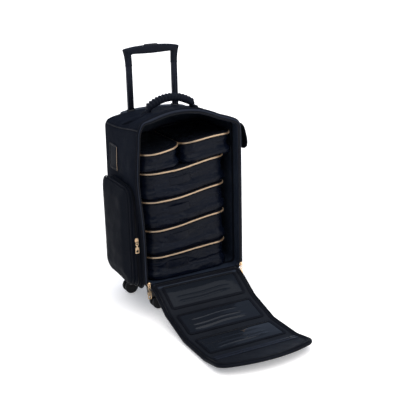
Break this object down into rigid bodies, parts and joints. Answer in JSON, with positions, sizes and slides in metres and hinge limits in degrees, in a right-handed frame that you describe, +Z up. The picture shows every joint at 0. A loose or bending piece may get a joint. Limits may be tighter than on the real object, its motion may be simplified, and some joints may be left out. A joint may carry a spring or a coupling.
{
  "type": "makeup train case",
  "caption": "Soft-sided rolling makeup case with a fold-down front, stacked zipped pouches, side pockets, a carry handle, a telescopic trolley and swivelling twin casters.",
  "frame": {"origin": "on the floor, under the middle of the whole object with its front folded down", "axes": "+Z up, -Y out of the opening towards the folded-down front, +X to the right of someone who faces the opening"},
  "size_m": [0.4182, 0.7832, 0.8255],
  "materials": {
    "nylon": "matt black woven nylon",
    "lining": "black polyester lining",
    "trim": "black grosgrain binding and coil zip",
    "black_plastic": "black moulded plastic, finely textured",
    "tube_metal": "black anodised aluminium tube",
    "wheel_rubber": "black rubber tread",
    "gold": "pale gold plated zip slider",
    "clear_vinyl": "clear flexible vinyl",
    "pouch_nylon": "black smooth nylon, padded",
    "pouch_lid": "black nylon lid with clear window and champagne zip"
  },
  "bodies": {
    "case": {"top_wall": "nylon", "base_wall": "nylon", "left_wall": "nylon", "right_wall": "nylon", "back_board": "lining", "back_cover": "nylon", "front_zip_frame": "trim", "base_tray": "black_plastic", "front_left_caster_cup": "black_plastic", "front_right_caster_cup": "black_plastic", "rear_left_caster_cup": "black_plastic", "rear_right_caster_cup": "black_plastic", "trolley_outer_tube_left": "tube_metal", "trolley_outer_tube_right": "tube_metal", "trolley_bezel": "black_plastic", "trolley_foot_bracket": "black_plastic", "handle_mount_left": "black_plastic", "handle_mount_right": "black_plastic", "side_pocket_gusset": "nylon", "tool_pocket": "nylon", "id_window": "clear_vinyl"},
    "trolley": {"trolley_inner_tube_left": "tube_metal", "trolley_inner_tube_right": "tube_metal", "trolley_grip": "black_plastic"},
    "release_button": {"trolley_button": "black_plastic"},
    "carry_handle": {"carry_handle": "black_plastic"},
    "front_left_caster_fork": {"front_left_caster_fork": "black_plastic"},
    "front_left_caster_wheels": {"front_left_caster_wheels": "wheel_rubber"},
    "front_right_caster_fork": {"front_right_caster_fork": "black_plastic"},
    "front_right_caster_wheels": {"front_right_caster_wheels": "wheel_rubber"},
    "rear_left_caster_fork": {"rear_left_caster_fork": "black_plastic"},
    "rear_left_caster_wheels": {"rear_left_caster_wheels": "wheel_rubber"},
    "rear_right_caster_fork": {"rear_right_caster_fork": "black_plastic"},
    "rear_right_caster_wheels": {"rear_right_caster_wheels": "wheel_rubber"},
    "door_lower": {"door_lower_panel": "lining", "door_lower_clear_pocket": "clear_vinyl"},
    "door_middle": {"door_middle_panel": "lining", "door_middle_clear_pocket": "clear_vinyl"},
    "door_upper": {"door_upper_panel": "lining", "door_upper_clear_pocket": "clear_vinyl"},
    "door_tip": {"door_tip_panel": "lining"},
    "door_zip_pull_left": {"door_zip_pull_left": "gold"},
    "door_zip_pull_right": {"door_zip_pull_right": "gold"},
    "side_pocket_cover": {"side_pocket_cover": "nylon"},
    "side_pocket_zip_pull": {"side_pocket_zip_pull": "gold"},
    "tool_pocket_flap": {"tool_pocket_flap": "nylon"},
    "pouch_bottom": {"pouch_bottom_tub": "pouch_nylon", "pouch_bottom_lid": "pouch_lid"},
    "pouch_lower": {"pouch_lower_tub": "pouch_nylon", "pouch_lower_lid": "pouch_lid"},
    "pouch_upper": {"pouch_upper_tub": "pouch_nylon", "pouch_upper_lid": "pouch_lid"},
    "pouch_top": {"pouch_top_tub": "pouch_nylon", "pouch_top_lid": "pouch_lid"},
    "small_pouch_left": {"small_pouch_left_tub": "pouch_nylon", "small_pouch_left_lid": "pouch_lid"},
    "small_pouch_right": {"small_pouch_right_tub": "pouch_nylon", "small_pouch_right_lid": "pouch_lid"}
  },
  "joints": [
    {"name": "trolley_slide", "type": "slide", "parent": "case", "child": "trolley", "axis": [0, 0, 1], "range_m": [-0.148, 0.2]},
    {"name": "release_button_push", "type": "slide", "parent": "trolley", "child": "release_button", "axis": [0, 0, -1], "range_m": [0, 0.003], "stiffness_N_per_m": 600, "springref_m": -0.001},
    {"name": "carry_handle_tilt", "type": "hinge", "parent": "case", "child": "carry_handle", "pos_m": [0.0095, 0.23659, 0.64], "axis": [1, 0, 0], "range_deg": [-50, 50]},
    {"name": "front_left_caster_swivel", "type": "hinge", "parent": "case", "child": "front_left_caster_fork", "pos_m": [-0.1145, 0.15459, 0], "axis": [0, 0, 1], "continuous": true},
    {"name": "front_left_caster_roll", "type": "hinge", "parent": "front_left_caster_fork", "child": "front_left_caster_wheels", "pos_m": [-0.1005, 0.15459, 0.023], "axis": [0, 1, 0], "continuous": true},
    {"name": "front_right_caster_swivel", "type": "hinge", "parent": "case", "child": "front_right_caster_fork", "pos_m": [0.1335, 0.15459, 0], "axis": [0, 0, 1], "continuous": true},
    {"name": "front_right_caster_roll", "type": "hinge", "parent": "front_right_caster_fork", "child": "front_right_caster_wheels", "pos_m": [0.1475, 0.15459, 0.023], "axis": [0, 1, 0], "continuous": true},
    {"name": "rear_left_caster_swivel", "type": "hinge", "parent": "case", "child": "rear_left_caster_fork", "pos_m": [-0.1145, 0.31459, 0], "axis": [0, 0, 1], "continuous": true},
    {"name": "rear_left_caster_roll", "type": "hinge", "parent": "rear_left_caster_fork", "child": "rear_left_caster_wheels", "pos_m": [-0.1285, 0.31459, 0.023], "axis": [0, 1, 0], "continuous": true},
    {"name": "rear_right_caster_swivel", "type": "hinge", "parent": "case", "child": "rear_right_caster_fork", "pos_m": [0.1335, 0.31459, 0], "axis": [0, 0, 1], "continuous": true},
    {"name": "rear_right_caster_roll", "type": "hinge", "parent": "rear_right_caster_fork", "child": "rear_right_caster_wheels", "pos_m": [0.1195, 0.31459, 0.023], "axis": [0, 1, 0], "continuous": true},
    {"name": "door_hinge", "type": "hinge", "parent": "case", "child": "door_lower", "pos_m": [0.0095, 0.09209, 0.112], "axis": [-1, 0, 0], "range_deg": [0, 121.4]},
    {"name": "door_middle_fold", "type": "hinge", "parent": "door_lower", "child": "door_middle", "pos_m": [0.0095, -0.01461, 0.04687], "axis": [-1, 0, 0], "range_deg": [-15.6, 0]},
    {"name": "door_upper_fold", "type": "hinge", "parent": "door_middle", "child": "door_upper", "pos_m": [0.0095, -0.13489, 0.01284], "axis": [-1, 0, 0], "range_deg": [-15.8, 0]},
    {"name": "door_tip_fold", "type": "hinge", "parent": "door_upper", "child": "door_tip", "pos_m": [0.0095, -0.26488, 0.01284], "axis": [-1, 0, 0], "range_deg": [-11, 0]},
    {"name": "door_zip_pull_left_slide", "type": "slide", "parent": "case", "child": "door_zip_pull_left", "axis": [0, 0, 1], "range_m": [0, 0.42]},
    {"name": "door_zip_pull_right_slide", "type": "slide", "parent": "case", "child": "door_zip_pull_right", "axis": [0, 0, 1], "range_m": [0, 0.42]},
    {"name": "side_pocket_cover_hinge", "type": "hinge", "parent": "case", "child": "side_pocket_cover", "pos_m": [-0.1981, 0.22659, 0.112], "axis": [0, -1, 0], "range_deg": [0, 75]},
    {"name": "side_pocket_zip_slide", "type": "slide", "parent": "case", "child": "side_pocket_zip_pull", "axis": [0, 0, 1], "range_m": [-0.05, 0.12]},
    {"name": "tool_flap_hinge", "type": "hinge", "parent": "case", "child": "tool_pocket_flap", "pos_m": [0.1868, 0.22659, 0.584], "axis": [0, -1, 0], "range_deg": [0, 90]},
    {"name": "pouch_bottom_slide", "type": "slide", "parent": "case", "child": "pouch_bottom", "axis": [0, 1, 0], "range_m": [-0.24, 0]},
    {"name": "pouch_lower_slide", "type": "slide", "parent": "case", "child": "pouch_lower", "axis": [0, 1, 0], "range_m": [-0.24, 0]},
    {"name": "pouch_upper_slide", "type": "slide", "parent": "case", "child": "pouch_upper", "axis": [0, 1, 0], "range_m": [-0.24, 0]},
    {"name": "pouch_top_slide", "type": "slide", "parent": "case", "child": "pouch_top", "axis": [0, 1, 0], "range_m": [-0.24, 0]},
    {"name": "small_pouch_left_slide", "type": "slide", "parent": "case", "child": "small_pouch_left", "axis": [0, 1, 0], "range_m": [-0.24, 0]},
    {"name": "small_pouch_right_slide", "type": "slide", "parent": "case", "child": "small_pouch_right", "axis": [0, 1, 0], "range_m": [-0.24, 0]}
  ],
  "couplings": [
    {"joint": "door_middle_fold", "follows": "door_hinge", "ratio": -0.1285},
    {"joint": "door_upper_fold", "follows": "door_hinge", "ratio": -0.13015},
    {"joint": "door_tip_fold", "follows": "door_hinge", "ratio": -0.09061}
  ]
}
